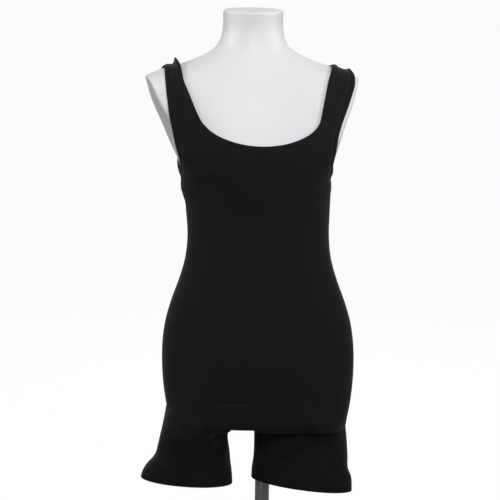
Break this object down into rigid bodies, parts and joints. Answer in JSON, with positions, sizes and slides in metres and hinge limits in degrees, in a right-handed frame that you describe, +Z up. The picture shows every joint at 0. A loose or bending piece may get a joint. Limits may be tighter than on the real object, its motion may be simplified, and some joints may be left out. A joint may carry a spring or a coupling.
{
  "type": "bodysuit on dress form",
  "caption": "Sleeveless short-legged stretch bodysuit worn by a smooth limbless dress form that stands on a pole and a round base.",
  "frame": {"origin": "on the axis of the pole, on the underside of the round base", "axes": "+Z up; the form faces -Y and is turned 6.5 degrees to the viewer's right; +X is the viewer's right"},
  "size_m": [0.3718, 0.3, 1.0628],
  "materials": {
    "jersey": "matt knitted, with a faint sheen at grazing angles",
    "band": "the same knit, folded double",
    "form_skin": "smooth satin white lacquer",
    "chromed_metal": "polished"
  },
  "bodies": {
    "root": {"front_panel": "jersey", "back_panel": "jersey", "crotch_gusset": "jersey", "neck_band": "band", "armhole_band_left": "band", "armhole_band_right": "band", "leg_cuff_left": "band", "leg_cuff_right": "band", "dress_form": "form_skin", "stand_pole": "chromed_metal", "stand_base": "chromed_metal"}
  },
  "joints": []
}
